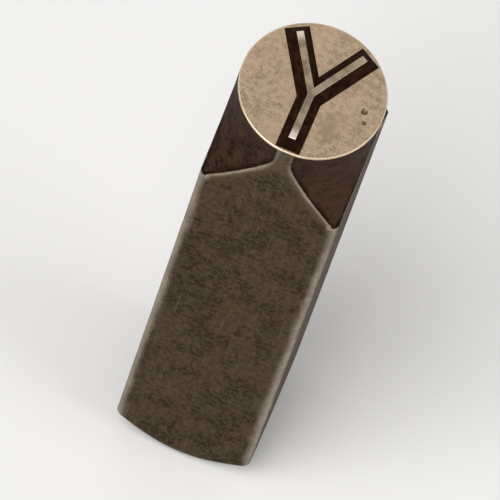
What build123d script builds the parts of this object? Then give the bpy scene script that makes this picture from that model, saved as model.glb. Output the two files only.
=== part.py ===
from build123d import *
import math
import os

# Steel letter punch, one solid piece, standing on its struck end.
# The origin is the middle of the struck end, +Z runs up to the letter,
# and the letter's foot points to -Y. Lengths in millimetres, angles in degrees.

# Square bar that the punch is made from
overall_length = 60.0
shank_width = 12.0
long_edge_radius = 0.6

# Struck end: a flat for the hammer, turned off at an angle all round
struck_flat_diameter = 10.6
struck_chamfer_angle = 45.0

# Turned tip: a round spigot a little wider than the bar's flats, so that a narrow strip of each
# flat runs up to the rim, then a hollow flare out to the bar's corners
tip_length = 9.3
spigot_length = 1.9
rim_flat_width = 1.4
rim_break = 0.15

# Letter, standing proud of the face and cut as its mirror image
relief_height = 0.8
letter_height = 9.2
letter_centre_y = -0.42
junction_y = -0.72
arm_angle = 30.5
crest_width = 0.55
flank_angle = 43.5

# Hardness test mark in the face
dimple_diameter = 0.6
dimple_depth = 0.12
dimple_x = 4.4
dimple_y = 0.05

# How far the turned outline stands clear of the bar's corners between the two ends
turning_clearance = 0.5

# Worked out from the sizes above
half_width = shank_width / 2
corner_radius = half_width * math.sqrt(2) - long_edge_radius * (math.sqrt(2) - 1)
clear_radius = corner_radius + turning_clearance
rim_radius = math.hypot(half_width, rim_flat_width / 2)
face_radius = rim_radius - rim_break
face_z = overall_length - relief_height
flare_top_z = face_z - spigot_length
flank_width = relief_height * math.tan(math.radians(flank_angle))


def square_bar():
    """Bar stock with its four long edges rounded."""
    return extrude(RectangleRounded(shank_width, shank_width, long_edge_radius), amount=face_z)


def flare_drop(radius):
    """How far below the spigot the flare has spread to a radius: it starts upright and meets the
    bar's corners at the full length of the tip."""
    corner_spread = corner_radius - rim_radius
    corner_drop = tip_length - spigot_length
    arc_radius = (corner_drop**2 + corner_spread**2) / (2 * corner_spread)
    spread = radius - rim_radius
    return math.sqrt(2 * arc_radius * spread - spread**2)


def turned_outline():
    """Solid of revolution that the bar is turned down to at both of its ends."""
    struck_radius = struck_flat_diameter / 2
    chamfer_rise = (clear_radius - struck_radius) * math.tan(math.radians(struck_chamfer_angle))
    flare_top = (rim_radius, flare_top_z)
    flare_bottom = (clear_radius, flare_top_z - flare_drop(clear_radius))
    lower = Polyline((0, face_z), (0, 0), (struck_radius, 0), (clear_radius, chamfer_rise), flare_bottom)
    flare = TangentArc(flare_top, flare_bottom, tangent=(0, -1))
    upper = Polyline(flare_top, (rim_radius, face_z - rim_break), (face_radius, face_z), (0, face_z))
    return revolve(make_face(Plane.XZ * (lower + flare + upper)), Axis.Z)


def stroke(length, width, angle):
    """One straight stroke of the letter in plan, from the junction outwards."""
    return Pos(0, junction_y) * Rot(0, 0, angle) * Pos(0, length / 2) * Rectangle(width, length)


def letter_outline(spread):
    """Letter Y in plan, with every edge of its crest moved outwards by spread."""
    top_y = letter_centre_y + letter_height / 2
    foot_y = letter_centre_y - letter_height / 2
    lean = math.radians(arm_angle)
    foot_length = junction_y - foot_y
    arm_length = (top_y - junction_y - crest_width / 2 * math.sin(lean)) / math.cos(lean)
    width = crest_width + 2 * spread
    outline = stroke(foot_length + spread, width, 180)
    outline += stroke(arm_length + spread, width, arm_angle)
    outline += stroke(arm_length + spread, width, -arm_angle)
    return outline


def letter():
    """Raised letter: mitred flanks slope from the face up to a narrow flat crest, inside the rim."""
    root = Pos(0, 0, face_z) * letter_outline(flank_width)
    crest = Pos(0, 0, overall_length) * letter_outline(0)
    inside_rim = Pos(0, 0, face_z) * extrude(Circle(face_radius), amount=relief_height)
    return loft([root, crest], ruled=True) & inside_rim


def dimple():
    """Ball that leaves the small round hardness mark."""
    ball_radius = (dimple_diameter**2 / 4 + dimple_depth**2) / (2 * dimple_depth)
    return Pos(dimple_x, dimple_y, face_z - dimple_depth + ball_radius) * Sphere(ball_radius)


def letter_punch():
    """The whole punch: bar turned at both ends, letter raised on its face."""
    return (square_bar() & turned_outline()) + letter() - dimple()


os.makedirs("parts", exist_ok=True)
export_step(letter_punch(), "parts/letter_punch.step")
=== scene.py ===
import math

import bmesh
import bpy
from mathutils import Matrix, Quaternion, Vector, noise


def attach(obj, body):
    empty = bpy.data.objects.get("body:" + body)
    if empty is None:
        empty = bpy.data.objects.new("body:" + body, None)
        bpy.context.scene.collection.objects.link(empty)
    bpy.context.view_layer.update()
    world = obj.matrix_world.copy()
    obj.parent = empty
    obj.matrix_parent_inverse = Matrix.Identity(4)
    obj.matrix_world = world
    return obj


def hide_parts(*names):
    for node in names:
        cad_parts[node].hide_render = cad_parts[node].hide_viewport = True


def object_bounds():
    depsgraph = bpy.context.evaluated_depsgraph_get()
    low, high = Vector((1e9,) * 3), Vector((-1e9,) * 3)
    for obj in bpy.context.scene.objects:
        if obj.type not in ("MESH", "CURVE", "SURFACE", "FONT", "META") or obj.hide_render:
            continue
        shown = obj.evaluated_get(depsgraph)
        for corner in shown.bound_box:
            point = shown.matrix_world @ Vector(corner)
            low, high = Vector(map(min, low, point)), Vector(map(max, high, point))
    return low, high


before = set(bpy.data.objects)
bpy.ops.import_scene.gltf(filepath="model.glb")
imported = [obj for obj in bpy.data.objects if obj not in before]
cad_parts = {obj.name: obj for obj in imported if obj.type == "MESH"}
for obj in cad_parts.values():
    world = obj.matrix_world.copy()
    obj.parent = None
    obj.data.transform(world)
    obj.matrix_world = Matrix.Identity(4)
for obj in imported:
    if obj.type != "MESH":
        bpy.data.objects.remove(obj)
cad_low, cad_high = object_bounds()

# The punch is drawn in millimetres and scaled to metres when its mesh is done
METRES = 0.001

# Bar and overall size, from the frame
OVERALL_LENGTH = cad_high.z / METRES
HALF_WIDTH = cad_high.x / METRES
LONG_EDGE_RADIUS = 0.6

# Struck end, turned off at 45 degrees round a flat
STRUCK_RADIUS = 5.3
CAP_RADII = (5.18, 4.6, 3.6, 2.6, 1.6, 0.6)
CONE_RINGS = 9

# Turned tip
TIP_LENGTH = 9.3
SPIGOT_LENGTH = 1.9
RIM_FLAT_WIDTH = 1.4
RIM_BREAK = 0.15
RIM_BREAK_RINGS = 5

# Letter
RELIEF_HEIGHT = 0.8
LETTER_HEIGHT = 9.2
LETTER_CENTRE_Y = -0.42
JUNCTION_Y = -0.72
ARM_ANGLE = math.radians(30.5)
CREST_WIDTH = 0.55
FLANK_ANGLE = math.radians(43.5)
CREST_EDGE_RADIUS = 0.06
CREST_EDGE_RINGS = 4
LETTER_STEP = 0.3
RIM_CLEARANCE = 0.03

# Hardness test mark and a fainter dent beside it: x, y, radius and depth
TEST_MARK = (4.4, 0.05, 0.3, 0.12)
FAINT_DENT = (4.75, -0.9, 0.2, 0.04)
DENT_POINTS = 24
DENT_RINGS = (0.97, 0.75, 0.5, 0.25)

# Worked out from the sizes above
CORNER_RADIUS = HALF_WIDTH * math.sqrt(2) - LONG_EDGE_RADIUS * (math.sqrt(2) - 1)
FLAT_HALF = HALF_WIDTH - LONG_EDGE_RADIUS
RIM_RADIUS = math.hypot(HALF_WIDTH, RIM_FLAT_WIDTH / 2)
FACE_RADIUS = RIM_RADIUS - RIM_BREAK
FACE_Z = OVERALL_LENGTH - RELIEF_HEIGHT
FLARE_TOP = FACE_Z - SPIGOT_LENGTH
FLARE_BOTTOM = FACE_Z - TIP_LENGTH
FLARE_SPREAD = CORNER_RADIUS - RIM_RADIUS
FLARE_DROP = FLARE_TOP - FLARE_BOTTOM
FLARE_ARC = (FLARE_DROP**2 + FLARE_SPREAD**2) / (2 * FLARE_SPREAD)
FLANK_WIDTH = RELIEF_HEIGHT * math.tan(FLANK_ANGLE)
LETTER_TOP_Y = LETTER_CENTRE_Y + LETTER_HEIGHT / 2
LETTER_FOOT_Y = LETTER_CENTRE_Y - LETTER_HEIGHT / 2

# Columns of the skin, across each flat and round each corner
FLAT_COLUMNS = 30
CORNER_COLUMNS = 20
SIDE_COLUMNS = FLAT_COLUMNS + CORNER_COLUMNS

# Rings of the skin: shares of the way from the cone's wavy edge to the first level ring, the height
# of that ring, the steps above it, and the closer rings where the flare first cuts the corners
STRAIGHTENING = (0.015, 0.05, 0.13, 0.3, 0.6, 1.0)
SHANK_START = 4.2
SHANK_STEP = 0.5
FIRST_CUTS = (0.04, 0.09, 0.15, 0.21, 0.27, 0.36)
TIP_STEP = 0.22

# What use and hand grinding have taken off, always inwards
WAVE_DEPTH = 0.012
WAVE_LENGTH = 3.0
EDGE_LOSS = 0.035
EVEN_LOSS = 0.55
UNEVEN_LOSS = 0.45
NICK_DEPTH = 0.07
NICK_LENGTH = 0.55
NICK_RARITY = 0.45

# Along the bar's edges, the gables and the turned corners: how much the steel is rubbed bright, the
# width of that line, and the width of the band beside it, paler on the bar and darker on the turned
# corners
EDGE_WEAR, EDGE_LINE, EDGE_SHADE = 0.8, 0.56, 0.9
EDGE_SHADE_SHARE = 0.5
GABLE_LINE, GABLE_SHADE = 0.42, 1.3
CORNER_LINE, CORNER_SHADE = 0.05, 0.5

# Gable lines are duller on the neck up to the rim, and run out a little below the turned tip; half of
# NECK_FADE is also the reach of the painted light on the flats below the neck
NECK_WEAR, NECK_FADE = 0.4, 5.0
SHOULDER_REACH = 0.6

# Wear where the bar meets the struck end's cone, and from the letter's ends along its strokes
CONE_WEAR, CONE_LINE = 0.6, 0.2
LETTER_END_REACH = 0.95
RIGHT_ARM_WEAR = 0.4

# Heights closer than this count as level
LEVEL = 0.002

# Greyish stain on the face, and painted light that makes the tip's right corner lighter than the left:
# place and reach
STAIN = ((2.3, -2.4, FACE_Z), (1.6, 2.5, 2.5))
RIGHT_CORNER_PAINTED_LIGHT = ((5.5, -5.5, FLARE_TOP - 3.5), (6.0, 6.0, 9.0))

# Finishes of the punch, in the order of its materials
SHANK, TURNED, FACE, FLANK, CREST, STRUCK = range(6)


# Camera

AZIMUTH = math.radians(3.2)
ELEVATION = math.radians(63.5)
LEAN = math.radians(20)
CAMERA_DISTANCE = 0.95
FRAME_SHARE = 0.86
SENSOR = 36.0


def add_camera():
    """Looks down on the punch from the photograph's angle, with the punch leaning to the right."""
    level = math.cos(ELEVATION)
    back = Vector((math.sin(AZIMUTH) * level, -math.cos(AZIMUTH) * level, math.sin(ELEVATION)))
    turn = (-back).to_track_quat("-Z", "Y") @ Quaternion((0, 0, 1), LEAN)
    across, upward = turn @ Vector((1, 0, 0)), turn @ Vector((0, 1, 0))
    points = [v.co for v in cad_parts["letter_punch"].data.vertices]
    reach_x = [p.dot(across) for p in points]
    reach_y = [p.dot(upward) for p in points]
    middle_x, middle_y = (min(reach_x) + max(reach_x)) / 2, (min(reach_y) + max(reach_y)) / 2
    widest = max(max(reach_x) - min(reach_x), max(reach_y) - min(reach_y))

    lens = bpy.data.cameras.new("camera")
    lens.sensor_width = SENSOR
    lens.lens = SENSOR * CAMERA_DISTANCE * FRAME_SHARE / widest
    camera = bpy.data.objects.new("camera", lens)
    camera.rotation_mode = "QUATERNION"
    camera.rotation_quaternion = turn
    camera.location = across * middle_x + upward * middle_y + back * CAMERA_DISTANCE
    bpy.context.scene.collection.objects.link(camera)
    bpy.context.scene.camera = camera


# Outline of the bar and the turned tip

def even_to_ends(count):
    """Shares from 0 to 1, closer together towards both ends."""
    return [0.5 - 0.5 * math.cos(math.pi * i / count) for i in range(count + 1)]


def turned_radius(z):
    """Radius that the tip is turned to at a height; below the flare it just clears the bar."""
    drop = max(0, min(FLARE_TOP - z, FLARE_DROP))
    return RIM_RADIUS + FLARE_ARC - math.sqrt(FLARE_ARC**2 - drop**2)


def bar_radius(angle):
    """Distance from the axis to the bar's rounded corner, at an angle from the middle of a flat."""
    reach = FLAT_HALF * (math.sin(angle) + math.cos(angle))
    return reach + math.sqrt(max(reach**2 - 2 * FLAT_HALF**2 + LONG_EDGE_RADIUS**2, 0))


def flat_half_at(radius):
    """Half the width that is left of a flat where the tip is turned to a radius."""
    return min(FLAT_HALF, math.sqrt(max(radius**2 - HALF_WIDTH**2, 0)))


def side_outline(radius):
    """The flat towards -Y and the corner to its right, for a turned radius."""
    flat_half = flat_half_at(radius)
    start = math.atan2(flat_half, HALF_WIDTH)
    points = [Vector((flat_half * (2 * s - 1), -HALF_WIDTH, 0)) for s in even_to_ends(FLAT_COLUMNS)[:-1]]
    for share in even_to_ends(CORNER_COLUMNS)[:-1]:
        angle = start + (math.pi / 2 - 2 * start) * share
        reach = min(radius, bar_radius(angle)) if share > 0 else math.hypot(flat_half, HALF_WIDTH)
        points.append(Vector((reach * math.sin(angle), -reach * math.cos(angle), 0)))
    return points


def outline(radius):
    """Whole section for a turned radius, anticlockwise, with one point for each column."""
    side = side_outline(radius)
    quarters = [Matrix.Rotation(math.pi / 2 * quarter, 3, "Z") for quarter in range(4)]
    return [quarter @ point for quarter in quarters for point in side]


def lifted(points, z):
    """The same points at a height."""
    return [p + Vector((0, 0, z)) for p in points]


# Rings of the skin

def on_flat(column):
    """Whether the face that starts at a column lies on a flat."""
    return column % SIDE_COLUMNS < FLAT_COLUMNS


def first_column(face, column):
    """Column that a face of the skin starts at, counted anticlockwise."""
    columns = sorted({v[column] for v in face.verts})
    return columns[-1] if columns[-1] - columns[0] > 1 else columns[0]


def add_loop(bm, points):
    """New closed loop of edges through points, numbered as columns."""
    column = bm.verts.layers.int["column"]
    verts = [bm.verts.new(p) for p in points]
    for i, vertex in enumerate(verts):
        vertex[column] = i
    return [bm.edges.new((a, b)) for a, b in zip(verts, verts[1:] + verts[:1])]


def add_ring(bm, edges, points, flat_finish, corner_finish, smooth=True):
    """Extrudes a ring to new places, finishes the faces in between, and returns the new ring."""
    column = bm.verts.layers.int["column"]
    made = bmesh.ops.extrude_edge_only(bm, edges=edges)["geom"]
    new = {g for g in made if isinstance(g, bmesh.types.BMVert)}
    for vertex in new:
        vertex.co = points[vertex[column]]
    for face in {f for v in new for f in v.link_faces}:
        face.material_index = flat_finish if on_flat(first_column(face, column)) else corner_finish
        face.smooth = smooth
    return [g for g in made if isinstance(g, bmesh.types.BMEdge) and set(g.verts) <= new]


def fill_level(bm, edges, finish):
    """Closes level open edges with flat faces; a loop inside another stays a hole."""
    filled = bmesh.ops.triangle_fill(bm, edges=edges, use_beauty=True, normal=(0, 0, 1))["geom"]
    for face in (g for g in filled if isinstance(g, bmesh.types.BMFace)):
        face.material_index = finish
        face.smooth = False


def add_struck_end(bm, edges, bar):
    """Cap of the struck end inside its ring, and the cone from that ring out to the bar."""
    inner = edges
    for radius in CAP_RADII:
        inner = add_ring(bm, inner, [p.normalized() * radius for p in bar], STRUCK, STRUCK)
    for face in bmesh.ops.contextual_create(bm, geom=inner)["faces"]:
        face.material_index = STRUCK
    for share in even_to_ends(CONE_RINGS)[1:]:
        points = []
        for p in bar:
            reach = STRUCK_RADIUS + (p.length - STRUCK_RADIUS) * share
            points.append(p.normalized() * reach + Vector((0, 0, reach - STRUCK_RADIUS)))
        edges = add_ring(bm, edges, points, STRUCK, STRUCK)
    return edges


def add_shank(bm, edges, bar):
    """Bar between its two ends: rings that straighten from the cone's wavy edge, then level ones."""
    for share in STRAIGHTENING:
        points = []
        for p in bar:
            cone_z = p.length - STRUCK_RADIUS
            points.append(p + Vector((0, 0, cone_z + (SHANK_START - cone_z) * share)))
        edges = add_ring(bm, edges, points, SHANK, SHANK)
    count = round((FLARE_BOTTOM - SHANK_START) / SHANK_STEP)
    for i in range(1, count + 1):
        z = SHANK_START + (FLARE_BOTTOM - SHANK_START) * i / count
        edges = add_ring(bm, edges, lifted(bar, z), SHANK, SHANK)
    return edges


def add_tip(bm, edges):
    """Flare and spigot, with the flats running up through them as gables."""
    heights = [FLARE_BOTTOM + rise for rise in FIRST_CUTS]
    start = heights[-1]
    count = round((FACE_Z - RIM_BREAK - start) / TIP_STEP)
    heights += [start + (FACE_Z - RIM_BREAK - start) * i / count for i in range(1, count + 1)]
    for z in heights:
        edges = add_ring(bm, edges, lifted(outline(turned_radius(z)), z), SHANK, TURNED)
    return edges


def add_rim_break(bm, edges):
    """Small round between the spigot and the face."""
    spigot = outline(RIM_RADIUS)
    for i in range(1, RIM_BREAK_RINGS + 1):
        turn = math.pi / 2 * i / RIM_BREAK_RINGS
        radius = RIM_RADIUS - RIM_BREAK * (1 - math.cos(turn))
        ring = [p.normalized() * min(p.length, radius) for p in spigot]
        ring = lifted(ring, FACE_Z - RIM_BREAK * (1 - math.sin(turn)))
        edges = add_ring(bm, edges, ring, FACE, FACE)


# Letter and dents

def letter_corners(spread):
    """The nine corners of the letter Y in plan, with every edge moved outwards by spread."""
    half = CREST_WIDTH / 2 + spread
    arm_rise = LETTER_TOP_Y - JUNCTION_Y - CREST_WIDTH / 2 * math.sin(ARM_ANGLE)
    arm_length = arm_rise / math.cos(ARM_ANGLE) + spread
    along = Vector((math.sin(ARM_ANGLE), math.cos(ARM_ANGLE), 0))
    outward = Vector((math.cos(ARM_ANGLE), -math.sin(ARM_ANGLE), 0))
    junction = Vector((0, JUNCTION_Y, 0))
    foot = Vector((half, LETTER_FOOT_Y - spread, 0))
    elbow = junction + Vector((half, -half * math.tan(ARM_ANGLE / 2), 0))
    arm_low = junction + along * arm_length + outward * half
    arm_high = junction + along * arm_length - outward * half
    notch = junction + Vector((0, half / math.sin(ARM_ANGLE), 0))
    right = [foot, elbow, arm_low, arm_high]
    left = [Vector((-p.x, p.y, 0)) for p in reversed(right)]
    return right + [notch] + left


def letter_points(spread, height):
    """Points round the letter at one height, as many on each edge at every spread."""
    corners, roots = letter_corners(spread), letter_corners(FLANK_WIDTH)
    points = []
    for i in range(len(corners)):
        start, end = corners[i - 1], corners[i]
        count = round((roots[i] - roots[i - 1]).length / LETTER_STEP)
        points += [start.lerp(end, step / count) for step in range(count)]
    inside_rim = FACE_RADIUS - RIM_CLEARANCE
    return lifted([p.normalized() * min(p.length, inside_rim) for p in points], FACE_Z + height)


def add_letter(bm):
    """Mitred flanks up to a flat crest with rounded edges, open underneath."""
    edges = add_loop(bm, letter_points(FLANK_WIDTH, 0))
    set_back = CREST_EDGE_RADIUS * math.tan((math.pi / 2 - FLANK_ANGLE) / 2)
    for i in range(CREST_EDGE_RINGS + 1):
        turn = FLANK_ANGLE + (math.pi / 2 - FLANK_ANGLE) * i / CREST_EDGE_RINGS
        spread = CREST_EDGE_RADIUS * math.cos(turn) - set_back
        height = RELIEF_HEIGHT - CREST_EDGE_RADIUS * (1 - math.sin(turn))
        finish = FLANK if i == 0 else CREST
        edges = add_ring(bm, edges, letter_points(spread, height), finish, finish, smooth=i > 0)
    fill_level(bm, edges, CREST)


def dent_points(dent, share):
    """Ring of a ball-shaped dent at a share of its radius."""
    x, y, edge_radius, full_depth = dent
    ball = (edge_radius**2 + full_depth**2) / (2 * full_depth)
    radius = edge_radius * share
    depth = math.sqrt(ball**2 - radius**2) - (ball - full_depth)
    angles = [2 * math.pi * i / DENT_POINTS for i in range(DENT_POINTS)]
    return [Vector((x + radius * math.cos(a), y + radius * math.sin(a), FACE_Z - depth)) for a in angles]


def add_dent(bm, dent):
    """Ball-shaped dent, open above."""
    edges = add_loop(bm, dent_points(dent, 1))
    for share in DENT_RINGS:
        edges = add_ring(bm, edges, dent_points(dent, share), FACE, FACE)
    fill_level(bm, edges, FACE)


# Wear and painted light: each place gets two values from 0 to 1, how bright it is rubbed and how near an
# edge it lies; the second also carries the painted light below the neck and the painted shade in the
# dents

def fading(gap, width):
    """From 1 at an edge down to 0, over about a width."""
    return math.exp(-((gap / width) ** 2))


def gap_to_edge(co, local):
    """Distance along the skin from a place to the nearest long edge or gable line."""
    flat_half = flat_half_at(turned_radius(co.z))
    if local <= FLAT_COLUMNS:
        share = even_to_ends(FLAT_COLUMNS)[local]
        return 2 * flat_half * min(share, 1 - share)
    share = even_to_ends(CORNER_COLUMNS)[local - FLAT_COLUMNS]
    start = math.atan2(flat_half, HALF_WIDTH)
    return math.hypot(co.x, co.y) * (math.pi / 2 - 2 * start) * min(share, 1 - share)


def tip_wear(co, gap, flat):
    """The two values on the turned tip: along the gables, and duller on the neck up to the rim; the
    second also paints light on the flats just below the neck.
    """
    if not flat:
        return fading(gap, CORNER_LINE), fading(gap, CORNER_SHADE)
    dulled = min(1, max(NECK_WEAR, (FACE_Z - co.z) / NECK_FADE))
    # Painted light: the flats lighter towards the top, just below the neck
    neck_painted_light = fading(FLARE_TOP - co.z, NECK_FADE / 2)
    return dulled * fading(gap, GABLE_LINE), max(fading(gap, GABLE_SHADE), neck_painted_light)


def bar_wear(co, gap, flat):
    """The two values on the bar: along its edges, under the gables and above the struck end."""
    from_crown = LONG_EDGE_RADIUS * math.pi / 4 + (gap if flat else -gap)
    above_cone = max(0, co.z - math.hypot(co.x, co.y) + STRUCK_RADIUS)
    edge = EDGE_WEAR * fading(from_crown, EDGE_LINE)
    shoulder = fading(gap, GABLE_LINE) * fading(FLARE_BOTTOM - co.z, SHOULDER_REACH)
    cone = CONE_WEAR * fading(above_cone, CONE_LINE)
    return max(edge, shoulder, cone), EDGE_SHADE_SHARE * fading(from_crown, EDGE_SHADE)


def skin_wear(co, column):
    """The two values on the skin, which is bright all round the rim's break."""
    if co.z > FACE_Z - RIM_BREAK + LEVEL:
        return (1.0, 0.0) if co.z < FACE_Z - LEVEL else (0.0, 0.0)
    local = column % SIDE_COLUMNS
    gap, flat = gap_to_edge(co, local), local <= FLAT_COLUMNS
    return tip_wear(co, gap, flat) if co.z > FLARE_BOTTOM else bar_wear(co, gap, flat)


def face_wear(co):
    """The two values on the letter, brightest at its foot and left arm; in the dents the second value is
    1, which paints shade there.
    """
    if co.z < FACE_Z + LEVEL:
        return 0.0, 1.0 if co.z < FACE_Z - LEVEL else 0.0
    foot = Vector((0, LETTER_FOOT_Y, co.z))
    arm = Vector((LETTER_HEIGHT / 2 * math.tan(ARM_ANGLE), LETTER_TOP_Y, co.z))
    end = foot if co.y < 0 else arm
    share = RIGHT_ARM_WEAR if co.x > 0 and co.y > 0 else 1.0
    return share * fading((Vector((abs(co.x), co.y, co.z)) - end).length, LETTER_END_REACH), 0.0


def wear_depth(co, rubbed):
    """How deep the waves of grinding, the loss along edges and the nicks are at a place."""
    wave = 0.5 + 0.5 * noise.noise(co / WAVE_LENGTH)
    nick = max(0, noise.noise(co / NICK_LENGTH) - NICK_RARITY) * rubbed
    loss = rubbed * (EVEN_LOSS + UNEVEN_LOSS * noise.noise(co))
    return WAVE_DEPTH * wave + EDGE_LOSS * loss + NICK_DEPTH * nick


def wear_down(bm):
    """Writes the two values on every place, and takes the wear off the skin, always inwards."""
    column = bm.verts.layers.int["column"]
    rubbed = bm.verts.layers.float["rubbed"]
    beside = bm.verts.layers.float["beside"]
    bm.normal_update()
    moves = []
    for vertex in bm.verts:
        if vertex[column] < 0:
            vertex[rubbed], vertex[beside] = face_wear(vertex.co)
        elif vertex.co.z > LEVEL:
            vertex[rubbed], vertex[beside] = skin_wear(vertex.co, vertex[column])
            if vertex.co.z < FACE_Z - RIM_BREAK / 2:
                moves.append((vertex, vertex.normal * wear_depth(vertex.co, vertex[rubbed])))
    for vertex, move in moves:
        vertex.co -= move


# The whole punch

def build_punch():
    """One closed skin: struck end, bar, turned tip, face, letter and dents."""
    bm = bmesh.new()
    column = bm.verts.layers.int.new("column")
    bm.verts.layers.float.new("rubbed")
    bm.verts.layers.float.new("beside")

    bar = outline(CORNER_RADIUS)
    edges = add_loop(bm, [p.normalized() * STRUCK_RADIUS for p in bar])
    edges = add_struck_end(bm, edges, bar)
    edges = add_shank(bm, edges, bar)
    edges = add_tip(bm, edges)
    add_rim_break(bm, edges)
    skin = set(bm.verts)

    add_letter(bm)
    add_dent(bm, TEST_MARK)
    add_dent(bm, FAINT_DENT)
    for vertex in bm.verts:
        if vertex not in skin:
            vertex[column] = -1

    fill_level(bm, [e for e in bm.edges if e.is_boundary], FACE)
    bmesh.ops.recalc_face_normals(bm, faces=bm.faces)
    wear_down(bm)
    bm.verts.layers.int.remove(column)
    bmesh.ops.scale(bm, vec=Vector((METRES,) * 3), verts=bm.verts)
    return bm


def add_punch(materials):
    """Puts the punch in the scene in place of the plain solid."""
    mesh = bpy.data.meshes.new("punch_steel")
    bm = build_punch()
    bm.to_mesh(mesh)
    bm.free()
    for material in materials:
        mesh.materials.append(material)
    punch = bpy.data.objects.new("punch_steel", mesh)
    bpy.context.scene.collection.objects.link(punch)
    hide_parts("letter_punch")
    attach(punch, "root")


# Patterns for the finishes

# Soft patches: how much grit makes the edge ragged, and the share of the way in where they are full
PATCH_GRIT = 0.25
PATCH_FULL = 0.7


def spread(tree, value, low, high, to_low=0.0, to_high=1.0):
    """Value from low to high, taken smoothly to another range and held at its ends."""
    node = tree.nodes.new("ShaderNodeMapRange")
    node.interpolation_type = "SMOOTHSTEP"
    node.inputs["From Min"].default_value = low
    node.inputs["From Max"].default_value = high
    node.inputs["To Min"].default_value = to_low
    node.inputs["To Max"].default_value = to_high
    tree.links.new(value, node.inputs["Value"])
    return node.outputs["Result"]


def between(tree, pattern, at_0, at_1):
    """Value that goes from one number to another as a pattern goes from 0 to 1."""
    return spread(tree, pattern, 0, 1, at_0, at_1)


def combine(tree, operation, first, second):
    """Arithmetic on two values, either of which may be a plain number."""
    node = tree.nodes.new("ShaderNodeMath")
    node.operation = operation
    for socket, value in zip(node.inputs, (first, second)):
        if isinstance(value, (int, float)):
            socket.default_value = value
        else:
            tree.links.new(value, socket)
    return node.outputs["Value"]


def share_of(tree, share, pattern):
    """A pattern turned down to a share of itself."""
    return combine(tree, "MULTIPLY", pattern, share)


def tint(tree, share, first, second):
    """Colour that goes from first to second as share goes from 0 to 1."""
    node = tree.nodes.new("ShaderNodeMix")
    node.data_type = "RGBA"
    tree.links.new(share, node.inputs["Factor"])
    for socket, colour in ((node.inputs["A"], first), (node.inputs["B"], second)):
        if isinstance(colour, tuple):
            socket.default_value = (*colour, 1)
        else:
            tree.links.new(colour, socket)
    return node.outputs["Result"]


def laid_over(tree, colour, layers):
    """Colour under more layers, each given as its pattern, how much of it shows, and its colour."""
    for pattern, share, layer_colour in layers:
        colour = tint(tree, share_of(tree, share, pattern), colour, layer_colour)
    return colour


def placed(tree, scale, offset=(0, 0, 0)):
    """Places on the punch as its own coordinates, scaled and then moved."""
    place = tree.nodes.new("ShaderNodeTexCoord")
    mapping = tree.nodes.new("ShaderNodeMapping")
    mapping.inputs["Scale"].default_value = scale
    mapping.inputs["Location"].default_value = offset
    tree.links.new(place.outputs["Object"], mapping.inputs["Vector"])
    return mapping.outputs["Vector"]


def clouds(tree, patch, low, high, stretch=(1, 1, 1), detail=4.0, twist=0.0):
    """Cloudy pattern from 0 to 1, in patches of about that many millimetres. A wide gap from low to
    high gives soft patches, and a small stretch draws them out along that axis."""
    cloud = tree.nodes.new("ShaderNodeTexNoise")
    cloud.inputs["Scale"].default_value = 1 / patch
    cloud.inputs["Detail"].default_value = detail
    cloud.inputs["Distortion"].default_value = twist
    tree.links.new(placed(tree, [share / METRES for share in stretch]), cloud.inputs["Vector"])
    return spread(tree, cloud.outputs["Fac"], low, high)


def along_edges(tree, name, grit, raggedness):
    """One of the skin's two edge values, broken up by a gritty pattern."""
    value = tree.nodes.new("ShaderNodeAttribute")
    value.attribute_name = name
    ragged = combine(tree, "ADD", value.outputs["Fac"], share_of(tree, raggedness, grit))
    return spread(tree, ragged, raggedness, 1 + raggedness / 2)


def soft_patch(tree, centre, reach, grit):
    """From 1 at a place on the punch down to 0 at a reach along each axis, with a ragged edge."""
    ball = tree.nodes.new("ShaderNodeTexGradient")
    ball.gradient_type = "SPHERICAL"
    scale = [1 / (METRES * r) for r in reach]
    offset = [-c / r for c, r in zip(centre, reach)]
    tree.links.new(placed(tree, scale, offset), ball.inputs["Vector"])
    ragged = combine(tree, "SUBTRACT", ball.outputs["Fac"], share_of(tree, PATCH_GRIT, grit))
    return spread(tree, ragged, 0, PATCH_FULL)


def relief(tree, height, depth):
    """Normal of a surface raised by a height from 0 to 1, times a depth in millimetres."""
    bump = tree.nodes.new("ShaderNodeBump")
    bump.inputs["Strength"].default_value = 1.0
    bump.inputs["Distance"].default_value = depth * METRES
    tree.links.new(height, bump.inputs["Height"])
    return bump.outputs["Normal"]


def new_material(name, metallic, sheen=0.5):
    """New material with its shader, ready for colour, roughness and relief."""
    material = bpy.data.materials.new(name)
    material.use_nodes = True
    tree = material.node_tree
    shader = tree.nodes["Principled BSDF"]
    shader.inputs["Metallic"].default_value = metallic
    shader.inputs["Specular IOR Level"].default_value = sheen
    return material, tree, shader


def finish_with(tree, shader, colour, roughness, normal):
    """Joins a finish's colour, roughness and relief to its shader."""
    tree.links.new(colour, shader.inputs["Base Color"])
    tree.links.new(roughness, shader.inputs["Roughness"])
    tree.links.new(normal, shader.inputs["Normal"])


# Finishes

# Bar under its oxide and where it is rubbed bare, which is also that much smoother
BAR_METALLIC, WORN_METALLIC = 0.12, 0.72
WORN_POLISH = 0.12


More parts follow.
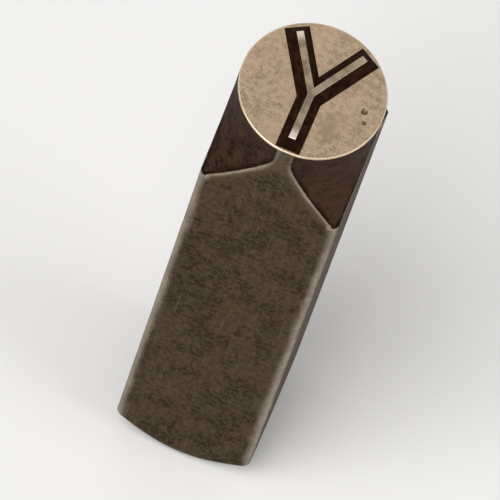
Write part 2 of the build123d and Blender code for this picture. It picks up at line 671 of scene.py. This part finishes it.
def shank_oxide():
    """Bar: mottled grey-brown oxide with faint draw marks along the bar, rubbed bright at its edges."""
    material, tree, shader = new_material("shank_oxide", BAR_METALLIC, sheen=0.04)
    cloud = clouds(tree, patch=1.7, low=0.43, high=0.57, stretch=(1, 1, 0.8), detail=5.0)
    mottle = clouds(tree, patch=0.5, low=0.43, high=0.57, stretch=(1, 1, 0.85), detail=8.0)
    fine = clouds(tree, patch=0.16, low=0.38, high=0.62, stretch=(1, 1, 0.8), detail=5.0)
    streak = clouds(tree, patch=0.3, low=0.4, high=0.62, stretch=(1, 1, 0.06))
    hairlines = clouds(tree, patch=0.12, low=0.6, high=0.7, stretch=(1, 1, 0.015))
    spots = clouds(tree, patch=0.42, low=0.56, high=0.66, twist=0.4)
    uneven = clouds(tree, patch=1.5, low=0.34, high=0.66, stretch=(1, 1, 0.4), detail=5.0)
    worn = along_edges(tree, "rubbed", uneven, raggedness=0.22)
    worn = combine(tree, "MULTIPLY", worn, between(tree, fine, 0.75, 1.0))
    colour = laid_over(tree, tint(tree, cloud, (0.018, 0.007, 0.003), (0.052, 0.033, 0.017)), [
        # Paler beside the edges and gables, and the painted light on the flats below the neck
        (along_edges(tree, "beside", streak, raggedness=0.3), 0.8, (0.125, 0.094, 0.058)),
        (mottle, 0.45, (0.084, 0.053, 0.026)),
        (fine, 0.35, (0.106, 0.071, 0.036)),
        (streak, 0.25, (0.024, 0.013, 0.007)),
        (hairlines, 0.45, (0.165, 0.132, 0.094)),
        (spots, 0.55, (0.024, 0.011, 0.006)),
        (worn, 1.0, (0.330, 0.270, 0.205))])
    roughness = between(tree, mottle, 0.62, 0.48)
    roughness = combine(tree, "SUBTRACT", roughness, share_of(tree, WORN_POLISH, worn))
    height = combine(tree, "ADD", fine, share_of(tree, 0.7, streak))
    height = combine(tree, "SUBTRACT", height, hairlines)
    tree.links.new(between(tree, worn, BAR_METALLIC, WORN_METALLIC), shader.inputs["Metallic"])
    finish_with(tree, shader, colour, roughness, relief(tree, height, depth=0.006))
    return material


def turned_oxide():
    """Turned corners: red-brown oxide with fine lines round the axis, darker than the bar partly as
    painted shade for the dark surroundings they reflect, and with painted light on the right corner.
    """
    material, tree, shader = new_material("turned_oxide", metallic=0.06, sheen=0.02)
    cloud = clouds(tree, patch=1.5, low=0.44, high=0.6)
    mottle = clouds(tree, patch=0.8, low=0.43, high=0.57, detail=6.0)
    fine = clouds(tree, patch=0.2, low=0.34, high=0.68, detail=5.0)
    lines = clouds(tree, patch=0.13, low=0.35, high=0.65, stretch=(0.06, 0.06, 1))
    # Base colour darker than the bar's: partly the corners' own red-brown oxide, partly painted shade
    colour = laid_over(tree, tint(tree, cloud, (0.008, 0.003, 0.002), (0.044, 0.021, 0.012)), [
        # Painted light: the tip's right corner lighter than the left
        (soft_patch(tree, *RIGHT_CORNER_PAINTED_LIGHT, cloud), 0.4, (0.086, 0.046, 0.028)),
        (mottle, 0.42, (0.078, 0.043, 0.025)),
        (fine, 0.3, (0.062, 0.036, 0.023)),
        (lines, 0.35, (0.012, 0.005, 0.003)),
        # Darker beside the gable lines
        (along_edges(tree, "beside", cloud, raggedness=0.4), 0.8, (0.007, 0.002, 0.001)),
        (along_edges(tree, "rubbed", fine, raggedness=0.6), 1.0, (0.160, 0.125, 0.092))])
    roughness = between(tree, cloud, 0.52, 0.66)
    height = combine(tree, "ADD", lines, share_of(tree, 0.5, fine))
    finish_with(tree, shader, colour, roughness, relief(tree, height, depth=0.008))
    return material


def ground_face():
    """Face: bare ground steel gone faintly tan, with fine straight grinding lines, a few specks, and
    painted shade in the dents.
    """
    material, tree, shader = new_material("ground_face", metallic=0.85)
    cloud = clouds(tree, patch=2.6, low=0.4, high=0.62)
    mottle = clouds(tree, patch=0.46, low=0.38, high=0.62, detail=5.0)
    fine = clouds(tree, patch=0.14, low=0.36, high=0.64, detail=5.0)
    lines = clouds(tree, patch=0.07, low=0.35, high=0.65, stretch=(0.05, 1, 1))
    specks = clouds(tree, patch=0.3, low=0.66, high=0.73, detail=2.0)
    colour = laid_over(tree, tint(tree, cloud, (0.258, 0.192, 0.120), (0.400, 0.276, 0.180)), [
        (mottle, 0.7, (0.500, 0.376, 0.256)),
        (fine, 0.4, (0.530, 0.413, 0.294)),
        (lines, 0.25, (0.260, 0.190, 0.118)),
        (specks, 0.6, (0.150, 0.100, 0.055)),
        (soft_patch(tree, *STAIN, mottle), 0.65, (0.255, 0.203, 0.125)),
        # Painted shade in the dents
        (along_edges(tree, "beside", fine, raggedness=0.2), 0.85, (0.070, 0.052, 0.024)),
        (along_edges(tree, "rubbed", fine, raggedness=0.3), 1.0, (0.580, 0.465, 0.345))])
    roughness = between(tree, fine, 0.36, 0.5)
    height = combine(tree, "ADD", lines, share_of(tree, 0.5, fine))
    finish_with(tree, shader, colour, roughness, relief(tree, height, depth=0.003))
    return material


def cut_flank():
    """Flanks of the letter: dark brown where the cutter left them, made near black partly as painted
    shade for the dark surroundings they reflect.
    """
    material, tree, shader = new_material("cut_flank", metallic=0.05, sheen=0.02)
    cloud = clouds(tree, patch=0.6, low=0.4, high=0.64)
    lines = clouds(tree, patch=0.09, low=0.35, high=0.65, stretch=(1, 1, 0.3))
    # Near black: dark brown steel, deepened with painted shade
    colour = laid_over(tree, tint(tree, cloud, (0.007, 0.002, 0.001), (0.026, 0.011, 0.006)), [
        (lines, 0.3, (0.036, 0.017, 0.009))])
    roughness = between(tree, lines, 0.5, 0.65)
    finish_with(tree, shader, colour, roughness, relief(tree, lines, depth=0.008))
    return material


def bright_crest():
    """Crest of the letter: the brightest steel, from striking into metal, most of all at its ends."""
    material, tree, shader = new_material("bright_crest", metallic=0.85)
    cloud = clouds(tree, patch=1.1, low=0.4, high=0.6)
    fine = clouds(tree, patch=0.1, low=0.35, high=0.65, detail=5.0)
    colour = laid_over(tree, tint(tree, cloud, (0.220, 0.170, 0.115), (0.360, 0.290, 0.212)), [
        (fine, 0.35, (0.200, 0.150, 0.100)),
        (along_edges(tree, "rubbed", fine, raggedness=0.4), 1.0, (0.700, 0.620, 0.510))])
    roughness = between(tree, fine, 0.3, 0.46)
    finish_with(tree, shader, colour, roughness, relief(tree, fine, depth=0.003))
    return material


def struck_oxide():
    """Struck end: turned oxide with small bright hammer bruises."""
    material, tree, shader = new_material("struck_oxide", metallic=0.45, sheen=0.3)
    cloud = clouds(tree, patch=1.5, low=0.38, high=0.62)
    fine = clouds(tree, patch=0.18, low=0.34, high=0.66, detail=5.0)
    bruises = clouds(tree, patch=1.1, low=0.56, high=0.64, detail=2.0)
    colour = laid_over(tree, tint(tree, cloud, (0.034, 0.021, 0.014), (0.062, 0.043, 0.029)), [
        (fine, 0.4, (0.085, 0.064, 0.046)),
        (bruises, 0.6, (0.170, 0.138, 0.104))])
    roughness = between(tree, bruises, 0.52, 0.38)
    height = combine(tree, "SUBTRACT", fine, share_of(tree, 1.5, bruises))
    finish_with(tree, shader, colour, roughness, relief(tree, height, depth=0.012))
    return material


# Floor and light

FLOOR_SIZE = 3.0
FLOOR_COLOUR = (0.86, 0.855, 0.845)
FLOOR_ROUGHNESS = 0.9
SKY_COLOUR = (1.0, 0.99, 0.975)
SKY_LIGHT = 0.38
SKY_SEEN = 0.9


def add_floor():
    """Plain pale floor under the struck end."""
    mesh = bpy.data.meshes.new("floor")
    bm = bmesh.new()
    bmesh.ops.create_grid(bm, x_segments=1, y_segments=1, size=FLOOR_SIZE / 2)
    bm.to_mesh(mesh)
    bm.free()
    material, _, shader = new_material("pale_floor", metallic=0.0)
    shader.inputs["Base Color"].default_value = (*FLOOR_COLOUR, 1)
    shader.inputs["Roughness"].default_value = FLOOR_ROUGHNESS
    mesh.materials.append(material)
    floor = bpy.data.objects.new("floor", mesh)
    bpy.context.scene.collection.objects.link(floor)


def add_sky():
    """Soft even light from all round; seen directly or in the steel it is a pale backdrop."""
    world = bpy.data.worlds.new("sky")
    world.use_nodes = True
    tree = world.node_tree
    background = tree.nodes["Background"]
    background.inputs["Color"].default_value = (*SKY_COLOUR, 1)
    path = tree.nodes.new("ShaderNodeLightPath")
    seen = combine(tree, "MAXIMUM", path.outputs["Is Camera Ray"], path.outputs["Is Glossy Ray"])
    seen = combine(tree, "MAXIMUM", seen, path.outputs["Is Transmission Ray"])
    tree.links.new(between(tree, seen, SKY_LIGHT, SKY_SEEN), background.inputs["Strength"])
    bpy.context.scene.world = world


def add_lamp(name, at, size, power):
    """Square soft lamp that points at the middle of the punch."""
    lamp = bpy.data.lights.new(name, "AREA")
    lamp.size = size
    lamp.energy = power
    place = bpy.data.objects.new(name, lamp)
    place.location = at
    target = Vector((0, 0, (cad_low.z + cad_high.z) / 2))
    place.rotation_mode = "QUATERNION"
    place.rotation_quaternion = (target - Vector(at)).to_track_quat("-Z", "Y")
    bpy.context.scene.collection.objects.link(place)


add_camera()
add_sky()
add_floor()
add_lamp("key_lamp", at=(-0.22, -0.34, 0.70), size=0.5, power=4.7)
add_lamp("rim_lamp", at=(0.55, -0.05, 0.42), size=0.4, power=1.1)

# In the order of SHANK, TURNED, FACE, FLANK, CREST, STRUCK
add_punch([shank_oxide(), turned_oxide(), ground_face(), cut_flank(), bright_crest(), struck_oxide()])

bpy.context.scene.view_settings.view_transform = "Standard"
